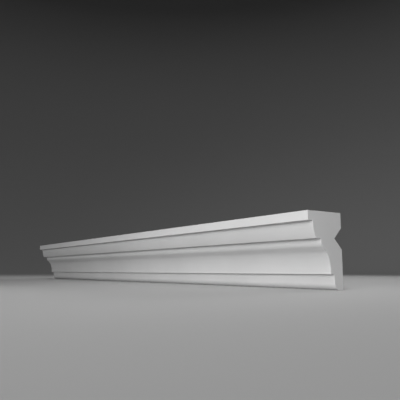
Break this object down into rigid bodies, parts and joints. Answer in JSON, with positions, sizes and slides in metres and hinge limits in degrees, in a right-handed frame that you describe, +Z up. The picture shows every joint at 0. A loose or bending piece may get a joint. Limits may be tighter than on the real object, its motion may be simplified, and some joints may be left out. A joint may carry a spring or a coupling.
{
  "type": "cornice moulding length",
  "caption": "Straight length of white cast plaster cornice with fascia, ovolo, ogee and rounded toe, square-cut ends and a V groove along its flat back, for the angle of wall and ceiling.",
  "frame": {"origin": "on the flat back at mid-length, in the middle of the broad band below the groove, 23.6 mm above the foot", "axes": "+X along the length, +Y into the wall that the back bears on, +Z up to the ceiling; the moulded front faces -Y"},
  "size_m": [1, 0.0567, 0.091],
  "materials": {
    "plaster": "smooth matte white cast plaster"
  },
  "bodies": {
    "root": {"cornice_length": "plaster"}
  },
  "joints": []
}
